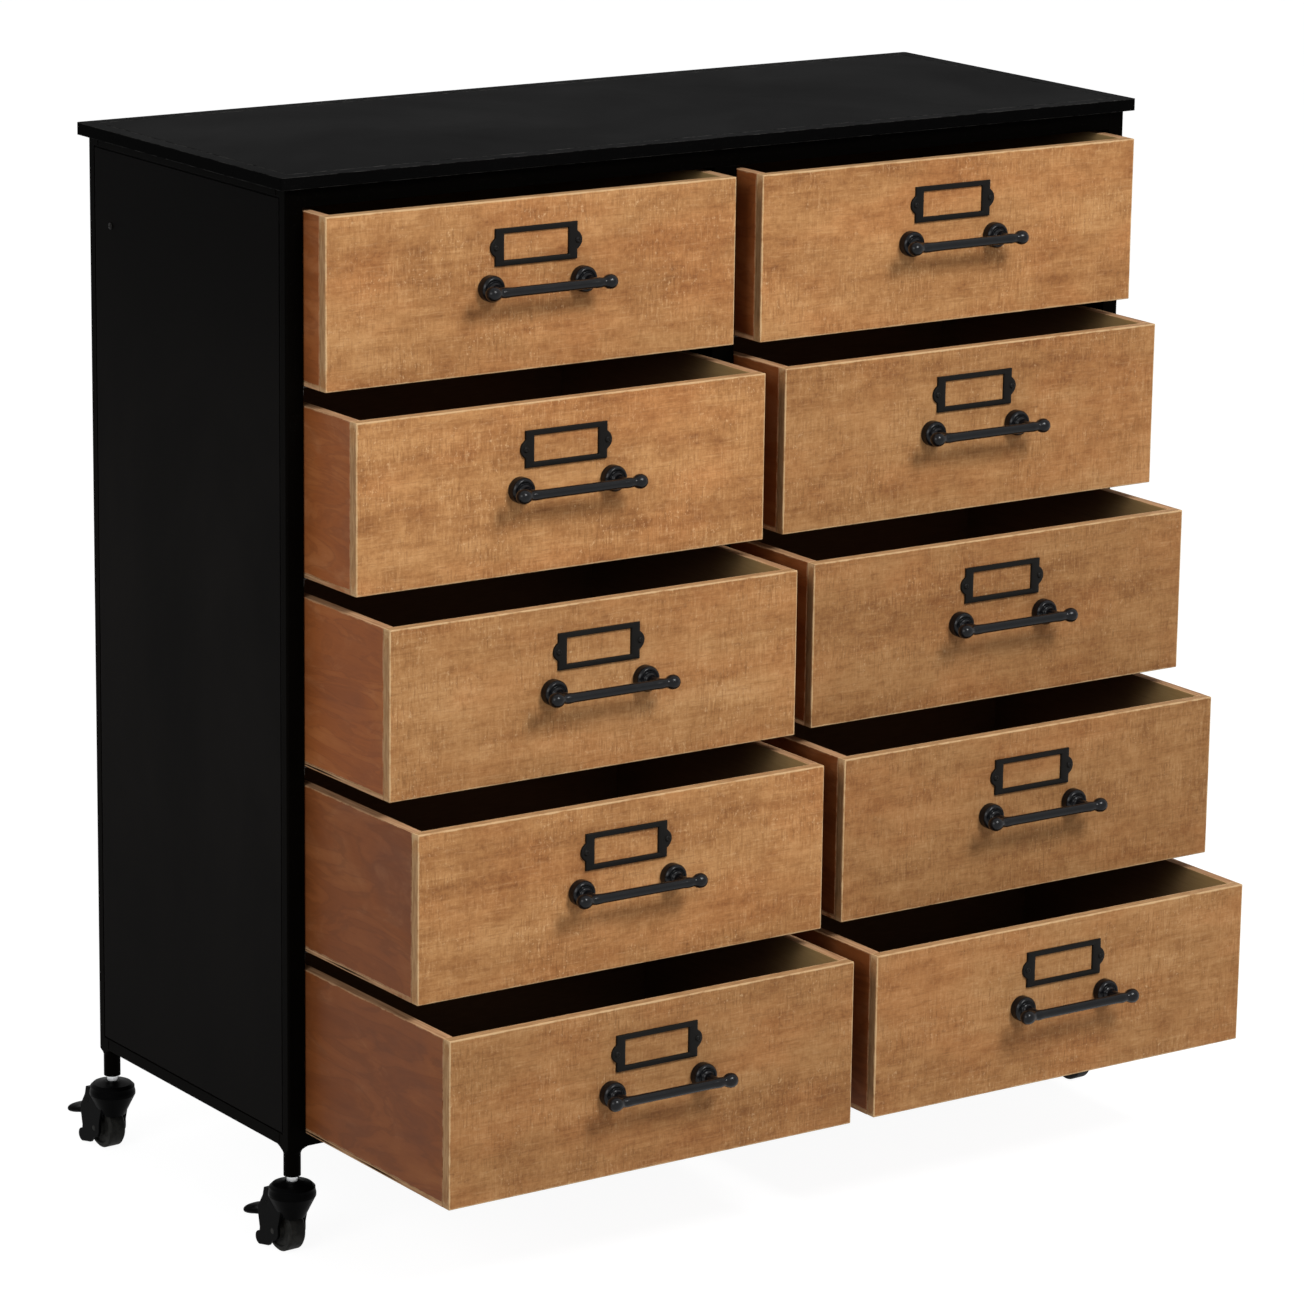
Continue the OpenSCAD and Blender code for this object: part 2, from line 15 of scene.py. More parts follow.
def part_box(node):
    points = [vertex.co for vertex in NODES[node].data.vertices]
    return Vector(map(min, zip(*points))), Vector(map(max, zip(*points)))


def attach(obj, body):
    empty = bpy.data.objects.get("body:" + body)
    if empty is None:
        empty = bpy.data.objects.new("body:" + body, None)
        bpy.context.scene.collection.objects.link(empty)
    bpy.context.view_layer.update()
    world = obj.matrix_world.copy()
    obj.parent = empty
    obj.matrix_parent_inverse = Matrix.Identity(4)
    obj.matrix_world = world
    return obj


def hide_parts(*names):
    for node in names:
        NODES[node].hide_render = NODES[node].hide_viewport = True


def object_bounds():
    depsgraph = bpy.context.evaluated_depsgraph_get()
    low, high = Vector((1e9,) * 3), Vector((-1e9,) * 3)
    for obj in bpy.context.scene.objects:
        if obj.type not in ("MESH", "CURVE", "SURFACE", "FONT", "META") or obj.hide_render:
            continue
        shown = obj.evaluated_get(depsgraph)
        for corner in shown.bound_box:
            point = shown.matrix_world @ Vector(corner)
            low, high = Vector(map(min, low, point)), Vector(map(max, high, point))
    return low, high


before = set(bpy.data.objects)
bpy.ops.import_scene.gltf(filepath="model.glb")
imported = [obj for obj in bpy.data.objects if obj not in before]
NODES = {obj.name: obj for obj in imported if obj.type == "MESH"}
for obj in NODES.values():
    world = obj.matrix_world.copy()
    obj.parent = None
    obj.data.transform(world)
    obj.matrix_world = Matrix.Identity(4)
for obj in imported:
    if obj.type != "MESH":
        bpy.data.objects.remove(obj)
cad_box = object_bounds()
print("overall size in mm:", [round((b - a) * 1000) for a, b in zip(*cad_box)])

# %% [markdown]
# ## The camera
# The picture was taken with a long lens from the front left, a little above the top. Turn, tilt and roll, the
# three numbers of its place, and how many picture widths away the sharp image forms say all about the camera.

# %% Place the camera
TURN, TILT, ROLL = (math.radians(v) for v in (-34.587, 14.207, 0.770))
ABOVE_TOP = 0.7489
PLACE = Vector((-2.7973, -4.1237, cad_box[1][2] + ABOVE_TOP))
FOCAL = 5463.5 / 1304

ahead = Vector((-math.sin(TURN) * math.cos(TILT), math.cos(TURN) * math.cos(TILT), -math.sin(TILT)))
right = ahead.cross(Vector((0, 0, 1))).normalized()
above = right.cross(ahead)
right, above = (
    right * math.cos(ROLL) + above * math.sin(ROLL),
    above * math.cos(ROLL) - right * math.sin(ROLL),
)
lens = bpy.data.cameras.new("camera")
lens.sensor_width = 36
lens.lens = 36 * FOCAL
lens.clip_end = 200
camera = bpy.data.objects.new("camera", lens)
camera.matrix_world = Matrix.Translation(PLACE) @ Matrix((right, above, -ahead)).transposed().to_4x4()
bpy.context.scene.collection.objects.link(camera)
bpy.context.scene.camera = camera
bpy.context.scene.view_settings.view_transform = "Standard"
print("lens", round(lens.lens, 1), "mm, camera at", [round(v, 3) for v in PLACE])

# %% [markdown]
# ## Shader sums
# A finish is a long sum of small patterns. Written as Python, `1 - mask * 0.3` reads better than three nodes and
# five links, so one small class wraps a socket and turns each operator into the Math node that it stands for.

# %% A socket that can be calculated with


class Socket:
    """A socket of a finish. + - and * with numbers or other sockets add Math nodes."""

    def __init__(self, finish, socket):
        self.finish, self.socket = finish, socket

    def math(self, operation, *others):
        return self.finish.node("Math", {"operation": operation}, [self, *others])

    def __add__(self, other):
        return self.math("ADD", other)

    def __sub__(self, other):
        return self.math("SUBTRACT", other)

    def __mul__(self, other):
        return self.math("MULTIPLY", other)

    def __rsub__(self, other):
        return self.finish.node("Math", {"operation": "SUBTRACT"}, [other, self])

    __radd__, __rmul__ = __add__, __mul__

    def clip(self):
        """The value kept between 0 and 1."""
        return self.finish.node("Clamp", {}, [self, 0.0, 1.0])

    def step(self, low, high):
        """0 below low, 1 above high, and a smooth ramp between."""
        settings = {"interpolation_type": "SMOOTHSTEP"}
        return self.finish.node("MapRange", settings, [self, low, high, 0.0, 1.0])


# %% A material and the nodes in it


class Finish:
    """A material and the nodes in it."""

    def __init__(self, name):
        self.material = bpy.data.materials.new(name)
        self.material.use_nodes = True
        self.tree = self.material.node_tree
        self.tree.nodes.clear()
        self.made = {}

    def node(self, kind, settings, values, out=0):
        """A node of that kind: its settings first, then its inputs, in order as a list or by name as a dict."""
        node = self.tree.nodes.new("ShaderNode" + kind)
        for key, value in settings.items():
            if key == "stops":
                ramp = node.color_ramp.elements
                while len(ramp) < len(value):
                    ramp.new(0.5)
                for stop, (place, colour) in zip(ramp, value):
                    stop.position, stop.color = place, (*colour, 1)
            else:
                setattr(node, key, value)
        pairs = values.items() if isinstance(values, dict) else enumerate(values)
        for key, value in pairs:
            if isinstance(value, Socket):
                self.tree.links.new(value.socket, node.inputs[key])
            elif value is not None:
                node.inputs[key].default_value = value
        return Socket(self, node.outputs[out]) if node.outputs else None

    def place(self):
        """The point being shaded, in metres."""
        if "place" not in self.made:
            self.made["place"] = self.node("TexCoord", {}, {}, out="Object")
        return self.made["place"]

    def axis(self, letter):
        """One coordinate of the point being shaded."""
        if "axes" not in self.made:
            self.made["axes"] = self.node("SeparateXYZ", {}, [self.place()])
        return Socket(self, self.made["axes"].socket.node.outputs[letter])

    def attribute(self, name):
        """A number that the mesh carries at its vertices."""
        return self.node("Attribute", {"attribute_name": name}, {}, out="Fac")

    def noise(self, per_metre, detail=4.0, rough=0.55, swirl=0.0, shift=(0, 0, 0)):
        """Cloudy noise, with that many waves per metre along X, Y and Z."""
        if isinstance(per_metre, (int, float)):
            per_metre = (per_metre,) * 3
        spot = self.node("Mapping", {}, {"Vector": self.place(), "Location": shift, "Scale": per_metre})
        values = {"Vector": spot, "Scale": 1.0, "Detail": detail, "Roughness": rough, "Distortion": swirl}
        return self.node("TexNoise", {}, values)

    def blend(self, amount, first, second, mode="MIX"):
        """first where amount is 0 and second where it is 1, for colours."""
        first, second = ((*c, 1) if isinstance(c, tuple) else c for c in (first, second))
        settings = {"data_type": "RGBA", "blend_type": mode, "clamp_result": False}
        values = {0: amount, 6: first, 7: second}
        return self.node("Mix", settings, values, out=2)

    def grey(self, value):
        """A colour with the value in all three channels."""
        return self.node("CombineColor", {}, [value, value, value])

    def bump(self, height, depth, normal=None):
        """A normal tilted by height, a number from 0 to 1 that stands for depth metres."""
        values = {"Strength": 1.0, "Distance": depth, "Height": height, "Normal": normal}
        return self.node("Bump", {}, values)

    def rounded(self, radius):
        """A normal that turns round sharp edges, as if each had that radius in metres."""
        return self.node("Bevel", {"samples": 6}, {"Radius": radius})

    def rubbed(self, radius):
        """1 at an edge and 0 on the flat: how far the rounded normal leans away from the true one."""
        true = self.node("NewGeometry", {}, {}, out="Normal")
        lean = self.node("VectorMath", {"operation": "DOT_PRODUCT"}, [self.rounded(radius), true], out="Value")
        return (1 - lean).step(0.02, 0.25)

    def done(self, colour, rough, metal=0.0, normal=None, **constants):
        """Ends the finish with one Principled shader and returns the material."""
        values = {"Base Color": colour, "Roughness": rough, "Metallic": metal, "Normal": normal}
        values.update({key.replace("_", " "): value for key, value in constants.items()})
        surface = self.node("BsdfPrincipled", {}, values)
        self.node("OutputMaterial", {}, {"Surface": surface})
        return self.material


print("finishes can be written as sums")

# %% [markdown]
# ## The room
# A pale floor and a soft studio: one wide lamp high at the front right, a weaker one at the left, and a little
# light from all round. The floor and the world look white to the camera and in reflections, but send the object
# only a plain amount of light, so its colours come out as written.

# %% Floor, world and lamps
WHITE = (1.0, 1.0, 1.0)


def seen_directly(finish):
    """1 for a ray that comes from the camera, a reflection or through glass."""
    path = finish.node("LightPath", {}, {})
    outputs = path.socket.node.outputs
    names = ("Is Camera Ray", "Is Glossy Ray", "Is Transmission Ray")
    rays = [Socket(finish, outputs[name]) for name in names]
    return (rays[0] + rays[1] + rays[2]).clip()


def floor_finish():
    """White where the light falls and a little darker in the shadow, with faint trowel marks."""
    floor = Finish("studio_floor")
    marks = floor.noise(3.0, detail=3.0)
    shade = floor.blend(marks, (0.20, 0.20, 0.20), (0.22, 0.22, 0.22))
    matt = floor.node("BsdfDiffuse", {}, {"Color": shade})
    glow = floor.node("Emission", {}, {"Color": (*WHITE, 1), "Strength": 0.94})
    both = floor.node("AddShader", {}, [matt, glow])
    plain = floor.node("BsdfDiffuse", {}, {"Color": (0.55, 0.55, 0.55, 1)})
    shown = floor.node("MixShader", {}, [seen_directly(floor), plain, both])
    floor.node("OutputMaterial", {}, {"Surface": shown})
    return floor.material


half = 60.0
floor_mesh = bpy.data.meshes.new("studio_floor")
floor_mesh.from_pydata([(-half, -half, 0), (half, -half, 0), (half, half, 0), (-half, half, 0)], [], [(0, 1, 2, 3)])
floor_mesh.materials.append(floor_finish())
floor = bpy.data.objects.new("studio_floor", floor_mesh)
bpy.context.scene.collection.objects.link(floor)

world = bpy.data.worlds.new("studio")
bpy.context.scene.world = world
world.use_nodes = True
room = Finish.__new__(Finish)
room.tree, room.made = world.node_tree, {}
room.tree.nodes.clear()
AROUND = 0.34
strength = seen_directly(room) * (1.0 - AROUND) + AROUND
sky = room.node("Background", {}, {"Color": (*WHITE, 1), "Strength": strength})
room.node("OutputWorld", {}, {"Surface": sky})


def lamp(name, place, aim, size, watts):
    """A square soft lamp at place that faces aim."""
    light = bpy.data.lights.new(name, "AREA")
    light.size, light.energy = size, watts
    holder = bpy.data.objects.new(name, light)
    place = Vector(place)
    turn = (Vector(aim) - place).to_track_quat("-Z", "Y")
    holder.matrix_world = Matrix.Translation(place) @ turn.to_matrix().to_4x4()
    bpy.context.scene.collection.objects.link(holder)


lamp("key_lamp", (0.45, -3.3, 3.4), (0, 0, 0.6), 1.3, 140)
lamp("fill_lamp", (-3.6, -1.8, 2.2), (0, 0, 0.4), 1.8, 45)
print("floor, world and two lamps are in place")

# %% [markdown]
# ## Surfaces from numbers
# Every new piece is one or more grids of points. A grid is closed round one way (a ring) and runs along the other
# way; where its first and last ring shrink to a point, the shell is closed. The helper joins such grids into one
# mesh, merges the points that meet, and turns all faces outwards.

# %% Grids into a mesh


def ring_faces(count_along, count_round, first):
    """Quads of a grid that closes round: each point with its next neighbour along and round."""
    along, turn = np.meshgrid(np.arange(count_along - 1), np.arange(count_round), indexing="ij")
    here = first + along * count_round + turn
    beside = first + along * count_round + (turn + 1) % count_round
    return np.stack([here, beside, beside + count_round, here + count_round], axis=-1).reshape(-1, 4)


def make_piece(name, grids, finish, body, replaced=(), marks=None, smooth=True):
    """One object of one finish from grids of shape (along, round, 3). It rides on the body and may replace nodes.
    marks has an array of numbers at the points for each name."""
    points, faces, first = [], [], 0
    for grid in grids:
        points.append(grid.reshape(-1, 3))
        faces.append(ring_faces(grid.shape[0], grid.shape[1], first))
        first += grid.shape[0] * grid.shape[1]
    points, faces = np.concatenate(points), np.concatenate(faces)
    mesh = bpy.data.meshes.new(name)
    mesh.from_pydata(points.tolist(), [], faces.tolist())
    for key, values in (marks or {}).items():
        mesh.attributes.new(key, "FLOAT", "POINT").data.foreach_set("value", np.ravel(values).astype(np.float32))
    mesh.materials.append(finish)
    mesh.polygons.foreach_set("use_smooth", np.full(len(faces), smooth))
    shell = bmesh.new()
    shell.from_mesh(mesh)
    bmesh.ops.remove_doubles(shell, verts=shell.verts, dist=1e-6)
    bmesh.ops.recalc_face_normals(shell, faces=shell.faces)
    shell.to_mesh(mesh)
    shell.free()
    piece = bpy.data.objects.new(name, mesh)
    bpy.context.scene.collection.objects.link(piece)
    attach(piece, body)
    if replaced:
        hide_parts(*replaced)
    return piece


print("grids can be made into pieces")

# %% [markdown]
# ## A sawn board
# A new board is a block, but a used one has soft, uneven edges that catch the light, and that thin bright line is
# what makes a drawer look like wood. The surface is a block's surface sampled in rings. Each point is pulled back
# to an inner block and pushed out again by the edge radius, which rounds every edge and corner at once, and the
# radius swells and shrinks along the board as wear does.

# %% Board surfaces
EDGE = 0.0009


def rows_across(size, radius):
    """Places along one side of a block: close together in the rounding, then a few across the flat."""
    flat = [radius * k for k in (0, 0.3, 0.65, 1.0)] + [radius + 0.0012, radius + 0.004]
    start = np.array(flat) - size / 2
    return np.concatenate([start, [0.0], -start[::-1]])


def block_rings(size, radius):
    """Rings round a block's first axis, from the middle of one end to the middle of the other."""
    along, wide, high = (rows_across(s, radius) for s in size)
    side = np.concatenate
    ones = np.ones
    round_y = side([wide, ones(len(high) - 2) * wide[-1], wide[::-1], ones(len(high) - 2) * wide[0]])
    round_z = side([ones(len(wide)) * high[0], high[1:-1], ones(len(wide)) * high[-1], high[-2:0:-1]])
    inner = list(np.linspace(0, 1, 4)[:-1])
    rings = [(along[0], k) for k in inner] + [(x, 1.0) for x in along] + [(along[-1], k) for k in inner[::-1]]
    place = np.array([x for x, _ in rings])[:, None]
    shrink = np.array([k for _, k in rings])[:, None]
    return np.stack([place + 0 * round_y, shrink * round_y, shrink * round_z], axis=-1)


def wander(values, seed, waves=(3.1, 7.7, 19.0)):
    """A smooth wobble between about -1 and 1: three sines with seeded phases."""
    phases = np.random.default_rng(seed).uniform(0, 6.28, len(waves))
    return sum(np.sin(values * w * 6.28 + p) / (k + 1) for k, (w, p) in enumerate(zip(waves, phases))) / 1.8


def board(low, high, seed, edge=EDGE):
    """The board from corner low to corner high: inner block plus edge radius in the direction away from it.
    Returns the grid and how close each point is to an edge, 1 at the edge and 0 from 4 mm inside."""
    low, high = np.array(low), np.array(high)
    size, middle = high - low, (high + low) / 2
    order = [0, 1, 2] if size[0] >= size[1] else [1, 0, 2]
    block = block_rings(size[order], edge)[..., np.argsort(order)]
    wear = edge * (1 + 0.35 * wander((block + middle).sum(axis=-1), seed))[..., None]
    inner = np.clip(block, -(size / 2 - wear), size / 2 - wear)
    away = block - inner
    away /= np.maximum(np.linalg.norm(away, axis=-1, keepdims=True), 1e-9)
    to_face = np.sort(size / 2 - np.abs(block), axis=-1)
    nearness = 1 - np.clip((to_face[..., 1] - edge) / 0.003, 0, 1)
    return inner + wear * away + middle, nearness


sample, _ = board((0, 0, 0), (0.4255, 0.0103, 0.1515), 1)
print("a front board has", sample.shape[0], "rings of", sample.shape[1], "points")

# %% [markdown]
# ## Oiled wood with saw marks
# The fronts are planks that a coarse saw left rough. Long pale and dark bands run with the grain, fine pores run
# the same way, and short upright strokes cross them where the blade's teeth scratched and the oil stayed. The edges
# are rubbed pale. Noise stretched along one direction gives each of these: stretched along the board for the grain
# and along the height for the strokes.

# %% The wood of the fronts


def front_wood():
    """Tan plank: bands, blotches, saw strokes, pale flecks and rubbed edges."""
    wood = Finish("front_wood")
    band = wood.noise((1.8, 30.0, 17.0), detail=5.0, rough=0.60, swirl=0.3)
    streak = wood.noise((8.0, 40.0, 120.0), detail=5.0, rough=0.65, swirl=0.2, shift=(4.0, 1.0, 7.0))
    blotch = wood.noise((34.0, 40.0, 50.0), detail=6.0, rough=0.70, shift=(8.0, 2.0, 3.0))
    stroke = wood.noise((600.0, 200.0, 80.0), detail=3.0, rough=0.62, shift=(2.0, 5.0, 1.0))
    fibre = wood.noise((50.0, 300.0, 640.0), detail=3.0, rough=0.65, shift=(6.0, 2.0, 8.0))
    mottle = wood.noise((260.0, 200.0, 300.0), detail=3.0, rough=0.7, shift=(3.0, 3.0, 6.0))
    patch = wood.noise((15.0, 20.0, 24.0), detail=4.0, rough=0.65, shift=(9.0, 3.0, 2.0)).step(0.36, 0.62)
    tone = (band - 0.5) * 0.92 + (streak - 0.5) * 0.60 + (blotch - 0.5) * 1.05 + (mottle - 0.5) * 0.62 + 0.50
    shades = [
        (0.05, (0.205, 0.080, 0.026)), (0.32, (0.320, 0.144, 0.050)), (0.55, (0.408, 0.200, 0.074)),
        (0.78, (0.485, 0.254, 0.102)), (1.0, (0.560, 0.318, 0.144)),
    ]
    colour = wood.node("ValToRGB", {"stops": shades}, [tone.clip()])
    rosy = wood.noise((7.0, 10.0, 15.0), detail=3.0, shift=(1.0, 4.0, 9.0)).step(0.40, 0.66)
    colour = wood.blend(rosy * 0.5, colour, (1.10, 0.93, 0.86), "MULTIPLY")
    dark = (stroke.step(0.50, 0.68) * (patch * 0.75 + 0.25)).clip()
    colour = wood.blend(dark * 0.50, colour, (0.190, 0.078, 0.026))
    light = ((1 - stroke).step(0.54, 0.72) * (patch * 0.6 + 0.4)).clip()
    colour = wood.blend(light * 0.34, colour, (0.640, 0.395, 0.190))
    colour = wood.blend(fibre.step(0.53, 0.70) * 0.34, colour, (0.200, 0.083, 0.028))
    colour = wood.blend((1 - fibre).step(0.55, 0.72) * 0.22, colour, (0.640, 0.400, 0.195))
    speck = wood.noise((420.0, 300.0, 330.0), detail=2.0, shift=(1.0, 8.0, 3.0))
    colour = wood.blend((speck.step(0.60, 0.76) * patch).clip() * 0.52, colour, (0.68, 0.45, 0.24))
    stain = wood.noise((85.0, 60.0, 120.0), detail=3.0, rough=0.6, shift=(3.0, 9.0, 5.0)).step(0.66, 0.80)
    colour = wood.blend(stain * 0.5, colour, (0.165, 0.062, 0.022))
    colour = wood.blend(1.0, colour, wood.grey(wood.attribute("shade")), "MULTIPLY")
    raw = wood.attribute("raw")
    ply = wood.noise((60.0, 420.0, 60.0), detail=3.0, shift=(7.0, 1.0, 4.0))
    plies = wood.blend(ply.step(0.35, 0.65), (0.35, 0.192, 0.086), (0.50, 0.300, 0.146))
    # The end mark paints shade on the left end faces.
    plies = wood.blend(1.0, plies, wood.grey(wood.attribute("end")), "MULTIPLY")
    colour = wood.blend(raw * 0.85, colour, plies)
    rub = wood.attribute("edge")
    ragged = wood.noise((55.0, 55.0, 55.0), detail=5.0, rough=0.7, shift=(5.0, 5.0, 5.0))
    pale = (rub + (ragged - 0.5) * 0.9).step(0.76, 1.04)
    colour = wood.blend(pale * 0.66, colour, (0.66, 0.46, 0.25))
    # The inside face is darker, partly as stain and partly as painted shade.
    inner = wood.attribute("inside")
    colour = wood.blend(inner, colour, (0.120, 0.066, 0.033))
    height = stroke * 0.45 + fibre * 0.4 + blotch * 0.3 - stain * 0.4
    rough = 0.66 + (band - 0.5) * 0.2
    return wood.done(colour, rough, normal=wood.bump(height, 0.00022), Specular_IOR_Level=0.12)


FRONT_WOOD = front_wood()
print("front wood has", len(FRONT_WOOD.node_tree.nodes), "nodes")

# %% [markdown]
# ## Stained plywood
# The sides are smooth plywood, wiped with a red-brown stain that is thicker in some places and rubbed pale in
# others. Their raw top and bottom edges show thin plies. The inside is dark, partly as stain and partly as painted
# shade: it is painted pale just behind the front, where the light comes in, and darker further back.

# %% The wood of the boxes


def box_wood():
    """Red-brown stain over figured veneer, pale smudges, raw plies at the edges, a dark inside with painted shade."""
    wood = Finish("box_wood")
    wash = wood.noise((7.0, 6.0, 10.0), detail=4.0, rough=0.55, swirl=1.2)
    figure = wood.noise((14.0, 7.0, 34.0), detail=4.0, rough=0.5, swirl=1.6, shift=(5.0, 2.0, 7.0))
    grain = wood.noise((60.0, 40.0, 620.0), detail=4.0, rough=0.6)
    smudge = wood.noise((14.0, 13.0, 26.0), detail=5.0, rough=0.62, swirl=1.4, shift=(3.0, 6.0, 2.0)).step(0.50, 0.74)
    tone = wash * 0.55 + figure * 0.45
    shades = [(0.3, (0.205, 0.058, 0.016)), (0.5, (0.300, 0.090, 0.024)), (0.7, (0.395, 0.140, 0.044))]
    colour = wood.node("ValToRGB", {"stops": shades}, [tone])
    colour = wood.blend(grain.step(0.50, 0.75) * 0.22, colour, (0.150, 0.042, 0.013))
    colour = wood.blend(smudge * 0.30, colour, (0.46, 0.205, 0.092))
    vein = (1 - ((figure - 0.5) * (figure - 0.5)) * 600.0).clip()
    colour = wood.blend(vein * 0.22, colour, (0.130, 0.038, 0.013))
    colour = wood.blend(1.0, colour, wood.grey(wood.attribute("shade")), "MULTIPLY")
    raw = wood.attribute("raw")
    ply = wood.noise((340.0, 20.0, 340.0), detail=2.0, shift=(7.0, 1.0, 4.0))
    plies = [(0.3, (0.30, 0.155, 0.075)), (0.55, (0.46, 0.260, 0.135)), (0.8, (0.60, 0.370, 0.205))]
    colour = wood.blend(raw, colour, wood.node("ValToRGB", {"stops": plies}, [ply]))
    rub = wood.attribute("edge")
    ragged = wood.noise((70.0, 70.0, 70.0), detail=5.0, rough=0.7, shift=(2.0, 5.0, 9.0))
    pale = (rub + (ragged - 0.5) * 1.2).step(0.80, 1.08)
    colour = wood.blend(pale * 0.5, colour, (0.56, 0.345, 0.185))
    inside = wood.attribute("inside")
    # Painted light and shade inside: pale just behind the front, where the light comes in, dark further back.
    dark = wood.blend(grain, (0.095, 0.048, 0.022), (0.160, 0.092, 0.046))
    painted_light_inside = wood.blend(grain, (0.420, 0.262, 0.100), (0.560, 0.372, 0.160))
    deep = (wood.attribute("depth") + (wash - 0.5) * 0.05).step(0.015, 0.125)
    colour = wood.blend(inside, colour, wood.blend(deep, painted_light_inside, dark))
    rough = 0.50 + (wash - 0.5) * 0.25 + raw * 0.3
    return wood.done(colour, rough, normal=wood.bump(grain, 0.00008), Specular_IOR_Level=0.10)


BOX_WOOD = box_wood()
print("box wood has", len(BOX_WOOD.node_tree.nodes), "nodes")

# %% [markdown]
# ## Ten drawers of five boards
# A drawer is a front board, two sides, a back and a bottom. Each board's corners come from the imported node, so the
# new boards fill exactly the space of the solids that they replace.

# %% Corners of the boards
BOARD, FLOOR_BOARD = 0.010, 0.004
DRAWERS = [f"{side}_{row}" for side in ("left", "right") for row in range(1, 6)]


def corners(node):
    """The low and high corner of a node as arrays."""
    low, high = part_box(node)
    return np.array(low), np.array(high)


def box_boards(low, high):
    """The corners of the two sides, the back and the bottom, and for each the face that looks into the drawer."""
    (x0, y0, z0), (x1, y1, z1) = low, high
    z = z0 + FLOOR_BOARD
    return [
        ((x0, y0, z), (x0 + BOARD, y1, z1), (0, 1)),
        ((x1 - BOARD, y0, z), (x1, y1, z1), (0, -1)),
        ((x0 + BOARD, y1 - BOARD, z), (x1 - BOARD, y1, z1), (1, -1)),
        ((x0, y0, z0), (x1, y1, z), (2, 1)),
    ]


def face_mask(grid, low, high, axis, sign):
    """1 on the points of one face of a board, its rounded edges left out."""
    face = high[axis] if sign > 0 else low[axis]
    return (np.abs(grid[..., axis] - face) < EDGE * 0.2).astype(float)


print("a drawer's box has", len(box_boards(*corners("box_left_1"))), "boards")

# %% [markdown]
# The boards come from different planks, so every front and every box is given a shade, and some share one; part
# of it is painted shade that makes the lower rows darker. The marks that a mesh carries at its points tell the wood
# where the rubbed edges, the raw ends and the inside are.

# %% Make the boards
# Partly each board's own tone, partly painted shade that darkens the lower rows.
SHADES = {
    "left": (1.04, 1.14, 0.94, 1.04, 0.84),
    "right": (1.06, 0.92, 0.80, 0.80, 0.88),
}
BOX_SHADES = {
    "left": (1.0, 1.0, 1.0, 0.72, 0.70),
    "right": (1.0, 0.9, 0.9, 0.75, 0.8),
}
# Painted shade on the fronts' left end faces; a right-hand front's lies in its neighbour's shade.
END_PAINTED_SHADE = {"left": 0.1, "right": 0.5}  # a front's left end; a right-hand one lies in its neighbour's shade
BOX_EDGE = EDGE * 0.7


def shade_of(name, shades):
    """How light a drawer's boards are; the rows count from the top."""
    side, row = name.split("_")
    return shades[side][int(row) - 1]


def make_drawer(name, seed):
    """The front board, and the four boards of the box as one piece."""
    low, high = corners(f"front_{name}")
    grid, near = board(low, high, seed)
    raw = np.maximum(face_mask(grid, low, high, 0, 1), face_mask(grid, low, high, 0, -1))
    raw = np.maximum(raw, face_mask(grid, low, high, 2, 1))
    marks = {"edge": near, "raw": raw, "inside": face_mask(grid, low, high, 1, 1)}
    marks["shade"] = np.full(near.shape, shade_of(name, SHADES))
    marks["end"] = 1 - END_PAINTED_SHADE[name.split("_")[0]] * face_mask(grid, low, high, 0, -1)
    make_piece(f"front_board_{name}", [grid], FRONT_WOOD, f"drawer_{name}", [f"front_{name}"], marks)
    grids, edges, insides, raws, depths = [], [], [], [], []
    for number, (a, b, (axis, sign)) in enumerate(box_boards(*corners(f"box_{name}"))):
        grid, near = board(a, b, seed + 20 * number, BOX_EDGE)
        grids.append(grid)
        edges.append(near.ravel())
        insides.append(face_mask(grid, a, b, axis, sign).ravel())
        thin = 2 if axis != 2 else 0
        raw = np.maximum(face_mask(grid, a, b, thin, 1), face_mask(grid, a, b, thin, -1))
        raws.append(raw.ravel())
        depths.append((grid[..., 1] - low[1]).ravel())
    marks = {"edge": np.concatenate(edges), "inside": np.concatenate(insides), "raw": np.concatenate(raws)}
    marks["depth"] = np.concatenate(depths)
    marks["shade"] = np.full(len(marks["edge"]), shade_of(name, BOX_SHADES))
    make_piece(f"box_boards_{name}", grids, BOX_WOOD, f"drawer_{name}", [f"box_{name}"], marks)


for seed, name in enumerate(DRAWERS):
    make_drawer(name, seed)
print("boards made for", len(DRAWERS), "drawers")

# %% [markdown]
# ## Paint on steel
# The frame, the panels and the top are sprayed satin black. Spray paint is never flat: it dries with a fine skin
# like an orange's, dust and wiping leave it a little uneven, and the edges are rubbed down towards the metal. The
# solids keep their shape, and the shader rounds their edges.

# %% Black paint


